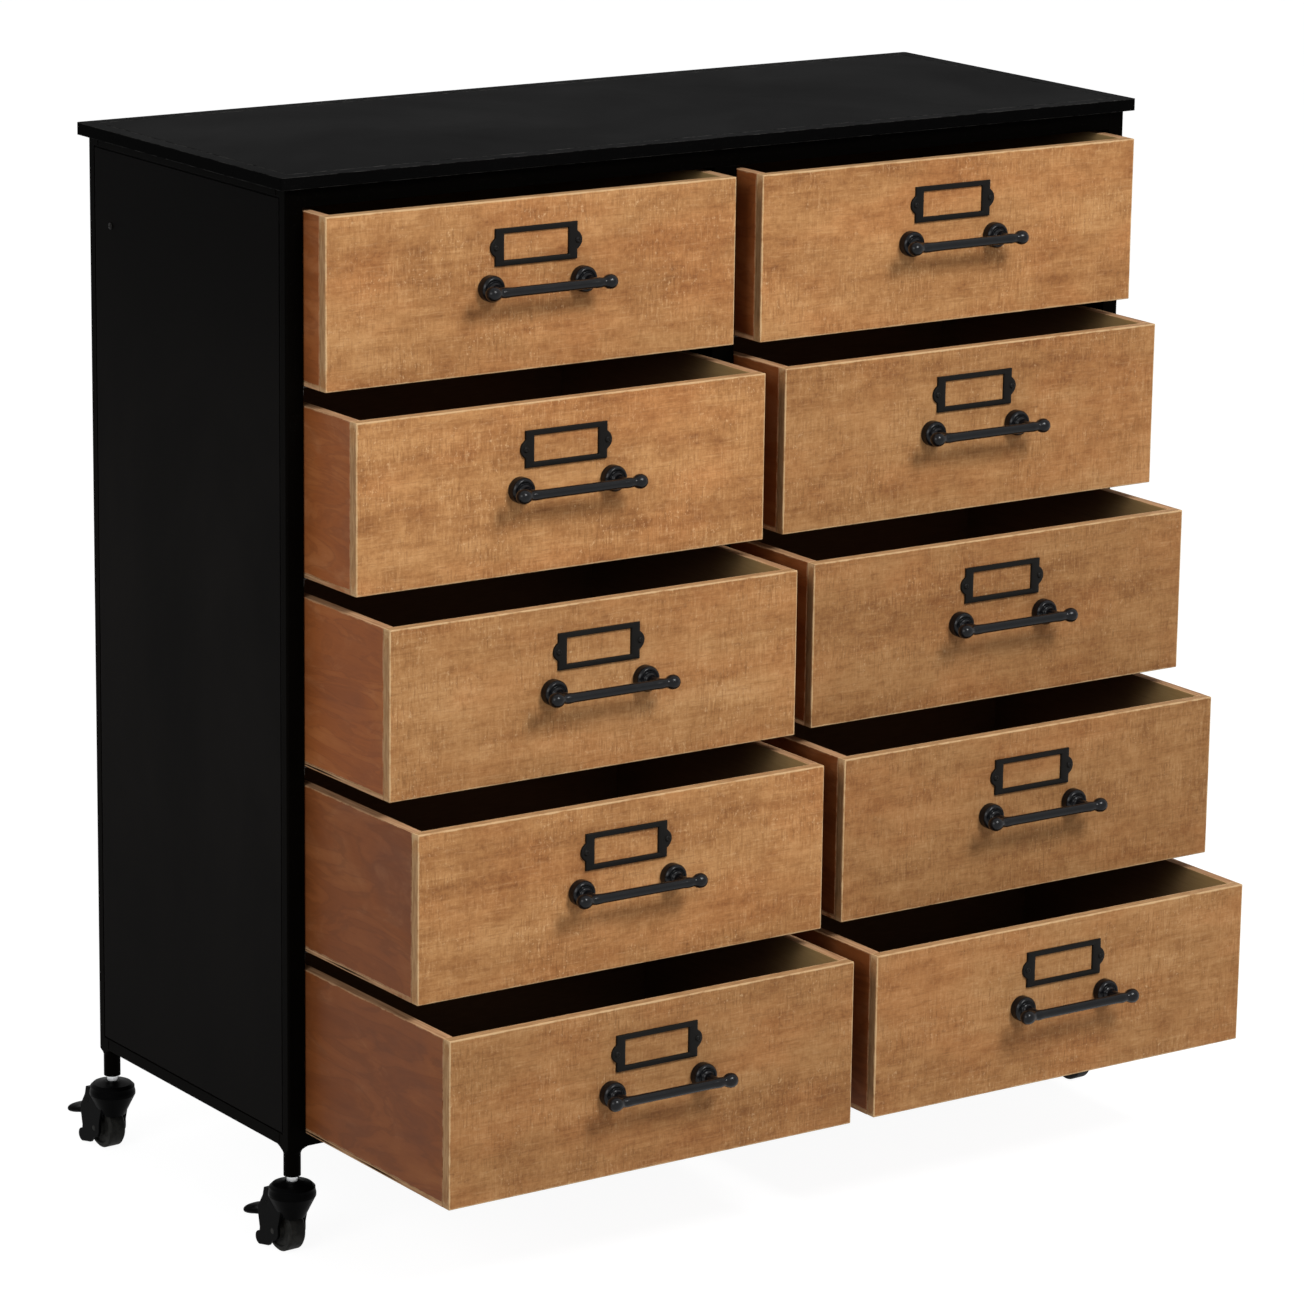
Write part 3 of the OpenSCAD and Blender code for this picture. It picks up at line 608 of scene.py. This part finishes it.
def black_paint(name, colour, gloss=0.45, wear=0.25, round_by=0.0008, shine=0.06):
    """Satin black: orange peel, dull clouds, rubbed edges, and painted shade that darkens the top and the foot.
    round_by is the radius that its edges seem to have, and shine is how much it mirrors."""
    paint = Finish(name)
    peel = paint.noise(420.0, detail=2.0)
    wiped = paint.noise((5.0, 5.0, 3.0), detail=4.0, rough=0.6, swirl=0.5)
    dust = paint.noise(900.0, detail=1.0, shift=(3.0, 3.0, 3.0)).step(0.70, 0.80)
    rub = (paint.rubbed(round_by) * paint.noise(90.0, detail=5.0, rough=0.7).step(0.35, 0.65)).clip()
    # Painted shade: the paint is made darker towards the top and towards the foot of the cabinet.
    high_up, low_down = paint.axis("Z").step(0.60, 0.95), 1 - paint.axis("Z").step(0.08, 0.45)
    painted_shade = 1 - high_up * 0.85 - low_down * 0.45
    base = paint.blend(wiped.step(0.3, 0.7), colour, tuple(c * 1.9 for c in colour))
    base = paint.blend(painted_shade, tuple(c * 0.3 for c in colour), base)
    base = paint.blend(dust * 0.12, base, (0.07, 0.066, 0.062))
    # Rubbed edges turn grey; on the top this is also a painted highlight along the rim.
    base = paint.blend(rub * wear, base, (0.10, 0.097, 0.092))
    rough = gloss + (wiped - 0.5) * 0.22 + dust * 0.2
    normal = paint.bump(peel, 0.00003, paint.rounded(round_by))
    return paint.done(base, rough, normal=normal, Specular_IOR_Level=shine)


PAINTS = {
    # The top's rubbed edges are strong: partly wear, partly a painted highlight along its rim.
    "top_panel": black_paint("top_paint", (0.0040, 0.0040, 0.0040), 0.46, 0.80, 0.0012, 0.0016),
    "frame": black_paint("frame_paint", (0.0014, 0.0011, 0.0008), 0.45, 0.06, shine=0.006),
    "side_panels": black_paint("panel_paint", (0.0045, 0.0040, 0.0037), 0.45, 0.1, shine=0.006),
    "drawer_runners": black_paint("runner_metal", (0.006, 0.006, 0.006), 0.40, 0.9, shine=0.1),
}
PAINTS["back_panel"] = PAINTS["bottom_panel"] = PAINTS["side_panels"]
PAINTS["centre_divider"] = PAINTS["frame"]


def repaint(node, material):
    """Gives a carried-over node one finish."""
    mesh = NODES[node].data
    mesh.materials.clear()
    mesh.materials.append(material)


for node, material in PAINTS.items():
    repaint(node, material)
print("painted", len(PAINTS), "nodes")

# %% [markdown]
# ## Pulls
# Each pull is cast: a round bar that narrows to a neck before each ball end, on two arms that spring from stepped
# rosettes. All of it is turned work, so each part is a radius that changes along an axis, carried round it.

# %% Sizes of a pull
PITCH, REACH = 0.096, 0.027
BAR_R, BALL_R, NECK_R, OVER = 0.0043, 0.0066, 0.0041, 0.0130
COLLAR = 0.0004
ROSETTE_R, ARM_R = 0.01175, 0.004
print("the screws of a pull are", 1000 * PITCH, "mm apart")

# %% Turned pieces


def turned(along, radius, start, axis, count=40):
    """A profile turned round an axis: point = start + along * axis + radius * (cos t, sin t) across it."""
    axis = np.array(axis, float)
    across = np.roll(axis, 1)
    third = np.cross(axis, across)
    t = np.linspace(0, 2 * np.pi, count, endpoint=False)[None, :, None]
    along, radius = np.asarray(along, float)[:, None, None], np.asarray(radius, float)[:, None, None]
    return np.array(start) + along * axis + radius * (np.cos(t) * across + np.sin(t) * third)


# %% Profile of the bar


def soft_step(x, low, high):
    """Smooth ramp from 0 at low to 1 at high."""
    t = np.clip((x - low) / (high - low), 0, 1)
    return t * t * (3 - 2 * t)


def bar_profile(count=120):
    """Half bar mirrored: straight, a low swelling at each arm, drawn in to the neck, then an egg-shaped knob.
    The knob grows out of the neck: the larger radius wins, with a soft change between the two. Angles place the
    points, so that they crowd together at the ends."""
    knob_at = PITCH / 2 + OVER
    end = knob_at + BALL_R
    x = -np.cos(np.linspace(0, np.pi, count)) * end
    inward = np.abs(x)
    bar = NECK_R + (BAR_R - NECK_R) * soft_step(knob_at - BALL_R - inward, 0.0, 0.006)
    bar += COLLAR * np.exp(-(((inward - PITCH / 2) / 0.0045) ** 2))
    length = np.where(inward < knob_at, BALL_R * 1.25, BALL_R)
    knob = BALL_R * np.sqrt(np.maximum(1 - ((inward - knob_at) / length) ** 2, 0))
    stem = np.where(inward < knob_at, bar, 0)
    both = np.where(inward < knob_at, (stem**6 + knob**6) ** (1 / 6), knob)
    return x, np.minimum(both, BALL_R)


# %% Profile of the arms


def rounded_steps(points, radius, each=5):
    """A profile whose corners are rounded: between the two points next to a corner, a curve through the middle."""
    points = np.array(points, float)
    out = [points[:1]]
    t = np.linspace(0, 1, each)[:, None]
    for before, corner, after in zip(points[:-2], points[1:-1], points[2:]):
        reach = [min(radius, 0.45 * np.linalg.norm(p - corner)) for p in (before, after)]
        a = corner + (before - corner) / np.linalg.norm(before - corner) * reach[0]
        b = corner + (after - corner) / np.linalg.norm(after - corner) * reach[1]
        out.append((1 - t) ** 2 * a + 2 * t * (1 - t) * corner + t**2 * b)
    return np.concatenate(out + [points[-1:]])


ARM = rounded_steps(
    [
        (0, 0), (0, ROSETTE_R - 0.0003), (0.0012, ROSETTE_R), (0.0078, ROSETTE_R), (0.0100, ROSETTE_R - 0.0016),
        (0.0102, ROSETTE_R - 0.0032), (0.0090, ROSETTE_R - 0.0040), (0.0088, 0.0068), (0.0104, 0.0062),
        (0.0112, 0.0052), (0.0124, ARM_R + 0.0004), (0.019, ARM_R), (REACH - 0.003, ARM_R + 0.0003),
        (REACH + 0.001, 0.0030), (REACH + 0.001, 0),
    ],
    0.0009,
)
print("bar profile", bar_profile()[0].shape, "arm profile", ARM.shape)

# %% [markdown]
# The dark metal is a patina: near black, with the high spots rubbed. A weak but sharp reflection is what gives the
# bar its thin bright line, so the pulls are fairly smooth and mirror little, and the card holders are duller.

# %% Patina


def patina(name, colour, gloss=0.34, shine=0.3):
    """Dark metal with a pitted skin and rubbed high spots. shine is how much it mirrors."""
    metal = Finish(name)
    pits = metal.noise(700.0, detail=3.0, rough=0.6)
    cloud = metal.noise(120.0, detail=4.0, rough=0.6, swirl=0.4)
    rub = metal.rubbed(0.0008)
    base = metal.blend(cloud, colour, tuple(c * 1.9 for c in colour))
    base = metal.blend((rub * cloud.step(0.4, 0.62)).clip() * 0.22, base, (0.075, 0.070, 0.066))
    rough = gloss + (cloud - 0.5) * 0.22
    normal = metal.bump(pits, 0.00006, metal.rounded(0.0004))
    return metal.done(base, rough, normal=normal, Specular_IOR_Level=shine)


PULL_METAL = patina("pull_metal", (0.0024, 0.0025, 0.0031), 0.21, 0.18)
LABEL_METAL = patina("label_metal", (0.0030, 0.0026, 0.0022), 0.42, 0.09)
print("two patinas")

# %% Make the pulls
SCREW_HEAD_R, SCREW_HEAD_T = 0.0044, 0.0025
SCREW_HEAD = rounded_steps(
    [
        (0, 0), (0, SCREW_HEAD_R), (SCREW_HEAD_T * 0.4, SCREW_HEAD_R),
        (SCREW_HEAD_T, SCREW_HEAD_R * 0.55), (SCREW_HEAD_T, 0),
    ],
    0.0008,
)


def make_pull(name):
    """Bar, two arms with rosettes, and the screw heads inside the drawer."""
    low, high = corners(f"pull_{name}")
    front, back = corners(f"front_{name}")
    x, z = (low[0] + high[0]) / 2, (low[2] + high[2]) / 2
    face, inner = front[1], back[1]
    grids = [turned(*bar_profile(), (x, face - REACH, z), (1, 0, 0))]
    for side in (-1, 1):
        at = x + side * PITCH / 2
        grids.append(turned(ARM[:, 0], ARM[:, 1], (at, face, z), (0, -1, 0)))
        grids.append(turned(SCREW_HEAD[:, 0], SCREW_HEAD[:, 1], (at, inner, z), (0, 1, 0), 24))
    make_piece(f"bar_pull_{name}", grids, PULL_METAL, f"drawer_{name}", [f"pull_{name}"])


for name in DRAWERS:
    make_pull(name)
print("ten pulls")

# %% [markdown]
# ## Card holders
# A card holder is a stamped frame with a window and a round ear at each side. Its outline and its window are two
# closed paths with the same number of points, and a low rounded profile is carried from one to the other all the
# way round: up the outer wall, over the flat, and down into the window.

# %% Stamped frames
LABEL_W, LABEL_H, LABEL_T = 0.085, 0.033, 0.0024
SIDE_BAR, LIP = 0.009, 0.0048
EAR_R, EAR_OUT = 0.0088, 0.005
CARD_SCREW = rounded_steps(
    [(0, 0), (0, 0.0027), (0.0006, 0.0027), (0.0014, 0.0016), (0.0011, 0.0006), (0.0008, 0)],
    0.0004,
)


def frame_path(width, height, count=36):
    """Round a rectangle, anticlockwise from its lower right corner, count points a side, crowded at the corners."""
    t = (1 - np.cos(np.linspace(0, np.pi, count, endpoint=False))) / 2
    w, h, one = width / 2, height / 2, np.ones(count)
    x = np.concatenate([w * one, w - 2 * w * t, -w * one, -w + 2 * w * t])
    z = np.concatenate([-h + 2 * h * t, h * one, h - 2 * h * t, -h * one])
    return np.stack([x, z], axis=-1)


def with_ears(path):
    """Pushes the upright sides out to a circle where it stands beyond them."""
    x, z = path[:, 0], path[:, 1]
    on_side = np.isclose(np.abs(x), LABEL_W / 2)
    bulge = np.sqrt(np.maximum(EAR_R**2 - z**2, 0)) - (EAR_R - EAR_OUT)
    x = np.where(on_side, np.sign(x) * (LABEL_W / 2 + np.maximum(bulge, 0)), x)
    return np.stack([x, z], axis=-1)


def make_label(name):
    """The frame's profile goes from outline to window; its first and last ring lie on the drawer front."""
    low, high = corners(f"label_{name}")
    face = corners(f"front_{name}")[0][1]
    x, z = (low[0] + high[0]) / 2, (low[2] + high[2]) / 2
    outer = with_ears(frame_path(LABEL_W, LABEL_H))
    window = frame_path(LABEL_W - 2 * SIDE_BAR, LABEL_H - 2 * LIP)
    share = np.array([0, 0, 0.04, 0.12, 0.5, 0.82, 0.9, 0.97, 1.0, 1.0])
    raised = np.array([0, 0.7, 0.93, 1.0, 1.0, 1.0, 0.93, 0.8, 0.6, 0]) * LABEL_T
    flat = outer[None] + share[:, None, None] * (window - outer)[None]
    grid = np.stack([x + flat[..., 0], face - raised[:, None] + 0 * flat[..., 0], z + flat[..., 1]], axis=-1)
    grids = [np.concatenate([grid, grid[:1]])]
    for side in (-1, 1):
        at = (x + side * LABEL_W / 2, face - LABEL_T, z)
        grids.append(turned(CARD_SCREW[:, 0], CARD_SCREW[:, 1], at, (0, -1, 0), 24))
    make_piece(f"card_holder_{name}", grids, LABEL_METAL, f"drawer_{name}", [f"label_{name}"])


for name in DRAWERS:
    make_label(name)
print("ten card holders")

# %% [markdown]
# ## Casters
# The forks are moulded nylon, dull and finely grained. The wheels are black with patches that the floor has worn
# grey, and the stems are bright zinc. All these keep their solids. Only the brake levers get new surfaces.

# %% Caster finishes
CORNERS = ("front_left", "front_right", "rear_left", "rear_right")


def nylon():
    """Black moulded plastic with a fine grain and scuffed edges."""
    plastic = Finish("caster_plastic")
    grain = plastic.noise(1300.0, detail=2.0)
    scuff = (plastic.rubbed(0.0007) * plastic.noise(160.0, detail=4.0).step(0.4, 0.65)).clip()
    base = plastic.blend(scuff * 0.3, (0.0012, 0.0012, 0.0013), (0.045, 0.045, 0.046))
    normal = plastic.bump(grain, 0.00004, plastic.rounded(0.0007))
    return plastic.done(base, 0.34 + grain * 0.12, normal=normal, Specular_IOR_Level=0.016)


def worn_tread():
    """Black with patches worn grey, and fine pale grit."""
    tread = Finish("wheel_tread")
    grit = tread.noise(800.0, detail=4.0, rough=0.7)
    patch = tread.noise(130.0, detail=3.0).step(0.35, 0.7)
    base = tread.blend(patch * 0.5, (0.010, 0.010, 0.009), (0.040, 0.039, 0.035))
    base = tread.blend(grit.step(0.58, 0.72) * 0.35, base, (0.09, 0.088, 0.08))
    normal = tread.bump(grit, 0.0001, tread.rounded(0.0009))
    return tread.done(base, 0.55 + grit * 0.15, normal=normal, Specular_IOR_Level=0.08)


def zinc():
    """Bright plate with fine turning marks and a cloudy bloom."""
    plate = Finish("zinc")
    rings = plate.noise((40.0, 40.0, 2600.0), detail=2.0)
    bloom = plate.noise(300.0, detail=3.0)
    base = plate.blend(bloom, (0.62, 0.63, 0.64), (0.78, 0.79, 0.80))
    return plate.done(base, 0.24 + bloom * 0.16, metal=1.0, normal=plate.bump(rings, 0.00002))


NYLON, TREAD, ZINC = nylon(), worn_tread(), zinc()
repaint("caster_stems", ZINC)
for corner in CORNERS:
    repaint(f"fork_{corner}", NYLON)
    repaint(f"wheel_{corner}", TREAD)
print("casters finished")

# %% [markdown]
# A foot presses the brake lever, so its tongue is a soft lens with no edge to cut a shoe. The lever is one tube:
# at each place behind the pivot it has a middle height, a half width and a half thickness, and its section changes
# from nearly square at the eye to a full oval at the tongue.

# %% Where the levers sit
CASTER_TURN = math.radians(93)
STEM_R, TRAIL, WHEEL_R = 0.005, 0.010, 0.020
PIVOT_BACK, PIVOT_RISE, PIN_R, FORK_HALF = 0.009, 0.025, 0.002, 0.015
# Along the lever, in millimetres: place behind the pivot, middle height, half thickness and half width.
LEVER_X = np.array([-4.2, 0, 6, 11, 17, 23, 33, 40, 45]) / 1000
LEVER_MID = np.array([0, 0, -3.2, -9, -14.2, -16.6, -18.6, -19.6, -19.8]) / 1000
LEVER_THICK = np.array([4.2, 4.2, 5.6, 5.8, 4.0, 3.6, 4.6, 4.8, 4.8]) / 1000
LEVER_WIDE = np.array([10, 10, 10, 10, 10, 10.8, 13.2, 14, 14]) / 1000
SIDE_OF = {corner: (-1 if "left" in corner else 1, -1 if "front" in corner else 1) for corner in CORNERS}


def at_caster(points, corner):
    """From a caster's own axes, its stem on Z and its wheel behind it on +X, to its place below the cabinet."""
    high = corners("caster_stems")[1]
    stem = [(high[k] - STEM_R) * sign for k, sign in enumerate(SIDE_OF[corner])]
    x, y, z = np.moveaxis(points, -1, 0)
    c, s = math.cos(CASTER_TURN), math.sin(CASTER_TURN)
    return np.stack([stem[0] + c * x - s * y, stem[1] + s * x + c * y, z], axis=-1)


print("levers sit at", {corner: at_caster(np.zeros(3), corner).round(3).tolist() for corner in CORNERS})

# %% Sections of a lever


def lever_grid(count=72, around=56):
    """Sections of the lever: an oval |y/w|^p + |z/h|^p = 1 at each place, drawn in to a point at both ends."""
    first, last = LEVER_X[0], LEVER_X[-1]
    x = first + (last - first) * (1 - np.cos(np.linspace(0, np.pi, count))) / 2
    middle, thick, wide = (np.interp(x, LEVER_X, row) for row in (LEVER_MID, LEVER_THICK, LEVER_WIDE))
    blur = np.ones(7) / 7
    middle = np.convolve(np.pad(middle, 3, mode="edge"), blur, mode="valid")
    eye = np.clip((x - first) / 0.0042, 0, 1)
    tip = np.clip((last - x) / 0.009, 0, 1)
    thick = thick * np.sqrt(1 - (1 - eye) ** 2) * (1 - (1 - tip) ** 2.6) ** 0.5
    wide = wide * np.where(eye > 0, 1, 0) * (1 - (1 - tip) ** 2.6) ** (1 / 2.6)
    power = 2.3 + 5.0 * soft_step(-x, -0.030, -0.012)
    turn = np.linspace(0, 2 * np.pi, around, endpoint=False)[None, :]
    c, s = np.cos(turn), np.sin(turn)
    y = np.sign(c) * np.abs(c) ** (2 / power[:, None]) * wide[:, None]
    z = np.sign(s) * np.abs(s) ** (2 / power[:, None]) * thick[:, None] + middle[:, None]
    grid = np.stack([x[:, None] + 0 * y, y, z], axis=-1)
    grid[0], grid[-1] = grid[0].mean(axis=0), grid[-1].mean(axis=0)
    return grid + np.array([TRAIL + PIVOT_BACK, 0, WHEEL_R + PIVOT_RISE])


# %% Make the levers
pin = rounded_steps([(0, 0), (0, PIN_R), (2 * FORK_HALF, PIN_R), (2 * FORK_HALF, 0)], 0.0004)
for corner in CORNERS:
    axle = turned(pin[:, 0], pin[:, 1], (TRAIL + PIVOT_BACK, -FORK_HALF, WHEEL_R + PIVOT_RISE), (0, 1, 0), 24)
    grids = [at_caster(grid, corner) for grid in (lever_grid(), axle)]
    make_piece(f"brake_lever_{corner}", grids, NYLON, f"pedal_{corner}", [f"pedal_{corner}"])
print("four brake levers")

# %% [markdown]
# ## Small marks of the workshop
# Where a rail meets a post, the welder left a short rippled bead: a round bar, half sunk in the steel.

# %% Weld beads
POST_W, BOTTOM_RAIL, SIDE_RAIL, RIM, TOP_RAIL = 0.017, 0.011, 0.008, 0.011, 0.017
RIPPLE_TURN = 6283  # radians in a metre: one ripple each millimetre


def bead(start, end, out, radius=0.0011):
    """A half-sunk bead from start to end: its radius swells with a ripple each millimetre and fades at the ends."""
    start, end, out = (np.array(v, float) for v in (start, end, out))
    t = np.linspace(0, 1, 40)
    length = np.linalg.norm(end - start)
    thick = radius * np.sqrt(np.clip(1 - (2 * t - 1) ** 8, 0, 1)) * (0.86 + 0.14 * np.cos(RIPPLE_TURN * t * length))
    axis = (end - start) / length
    across = np.cross(axis, out)
    turn = np.linspace(0, 2 * np.pi, 14, endpoint=False)[None, :, None]
    ring = np.cos(turn) * across + 0.75 * np.sin(turn) * out
    return start + t[:, None, None] * (end - start) + thick[:, None, None] * ring - out * radius * 0.35


half_x, half_y = corners("frame")[1][:2]
base = corners("bottom_panel")[0][2]
top = cad_box[1][2]
beads = []
for sx in (-1, 1):
    for sy in (-1, 1):
        y = sy * (half_y - POST_W)
        beads.append(bead((sx * half_x, y, top - RIM - SIDE_RAIL), (sx * half_x, y, top - RIM), (sx, 0, 0)))
        beads.append(bead((sx * half_x, y, base), (sx * half_x, y, base + BOTTOM_RAIL), (sx, 0, 0)))
        x = sx * (half_x - POST_W)
        beads.append(bead((x, sy * half_y, top - RIM - TOP_RAIL), (x, sy * half_y, top - RIM), (0, sy, 0)))
        beads.append(bead((x, sy * half_y, base), (x, sy * half_y, base + BOTTOM_RAIL), (0, sy, 0)))
make_piece("weld_beads", beads, PAINTS["frame"], "cabinet")
print(len(beads), "weld beads")

# %% [markdown]
# The top and bottom edges of the side sheets and of the back are folded behind the rails. The folds close the
# groove between sheet and rail, which would let light through.

# %% Folds of the sheets
FOLD_T, LAP, SHEET_T, GROOVE, FOLD_EDGE = 0.0012, 0.004, 0.001, 0.0016, 0.0003
post_x, post_y = half_x - POST_W, half_y - POST_W
folds = []
for sheet in ("side_panels", "back_panel"):
    low_z, high_z = (corner[2] for corner in corners(sheet))
    for a, b in ((low_z - GROOVE, low_z + LAP), (high_z - LAP, high_z + GROOVE)):
        if sheet == "back_panel":
            folds.append(((-post_x, half_y - SHEET_T - FOLD_T, a), (post_x, half_y - SHEET_T, b)))
        else:
            folds.append(((-half_x + SHEET_T, -post_y, a), (-half_x + SHEET_T + FOLD_T, post_y, b)))
            folds.append(((half_x - SHEET_T - FOLD_T, -post_y, a), (half_x - SHEET_T, post_y, b)))
strips = [board(a, b, seed, FOLD_EDGE)[0] for seed, (a, b) in enumerate(folds)]
make_piece("sheet_folds", strips, PAINTS["frame"], "cabinet")
print(len(strips), "folds")

# %% [markdown]
# A single screw holds each side sheet near its back corner. It is turned work again, with a dimple in its head.

# %% Screws of the side sheets
SCREW_Y, SCREW_DOWN = 0.1332, 0.0882
head = rounded_steps(
    [(0, 0), (0, 0.0032), (0.0007, 0.0031), (0.0016, 0.0018), (0.0016, 0.0009), (0.0009, 0.0005), (0.0009, 0)],
    0.0005,
)
screws = [turned(head[:, 0], head[:, 1], (sx * half_x, SCREW_Y, top - SCREW_DOWN), (sx, 0, 0), 28) for sx in (-1, 1)]
make_piece("panel_screws", screws, LABEL_METAL, "cabinet")
print(len(screws), "screws")

# %% [markdown]
# The angle runners end in bare tips in front, because every drawer rubs over them.

# %% Runner tips
RUNNER_W, RUNNER_H, RUNNER_T, RUNNER_CLEAR, TIP_BACK = 0.016, 0.008, 0.0015, 0.0003, 0.0015


def runner_tip(edge, sign, top_z, y0, y1):
    """An angle's outline carried from y0 to y1, its ends drawn together in the angle's corner."""
    w, h, t = RUNNER_W, RUNNER_H, RUNNER_T
    outline = np.array([(0, 0), (w, 0), (w, -t), (t, -t), (t, -h), (0, -h)])
    corner = np.array([t / 2, -t / 2])
    rings = [(y0, 0.0), (y0, 0.85), (y0 + 0.0003, 1.0), (y1, 1.0), (y1, 0.0)]
    place = [
        np.column_stack([edge + sign * flat[:, 0], np.full(6, y), top_z + flat[:, 1]])
        for y, flat in ((y, corner + k * (outline - corner)) for y, k in rings)
    ]
    return np.array(place)


def bare_steel():
    """Black paint rubbed through to dull steel, in streaks along the way the drawers slide."""
    steel = Finish("bare_runner")
    streaks = steel.noise((900.0, 30.0, 900.0), detail=3.0)
    worn = steel.noise(160.0, detail=4.0, rough=0.7, shift=(2.0, 2.0, 2.0)).step(0.38, 0.60)
    base = steel.blend(worn * streaks.step(0.35, 0.6), (0.010, 0.010, 0.010), (0.34, 0.33, 0.31))
    normal = steel.bump(streaks, 0.00003)
    return steel.done(base, 0.5 + streaks * 0.2, normal=normal, Specular_IOR_Level=0.2)


divider_half = corners("centre_divider")[1][0]
tips = []
for name in DRAWERS:
    side, row = name.split("_")
    sx = -1 if side == "left" else 1
    top_z = corners(f"front_{name}")[0][2] - RUNNER_CLEAR
    for edge, sign in ((sx * (half_x - POST_W), -sx), (sx * divider_half, sx)):
        tips.append(runner_tip(edge, sign, top_z, -half_y + TIP_BACK, -half_y + POST_W))
make_piece("runner_tips", tips, bare_steel(), "cabinet", smooth=False)
print(len(tips), "runner tips")
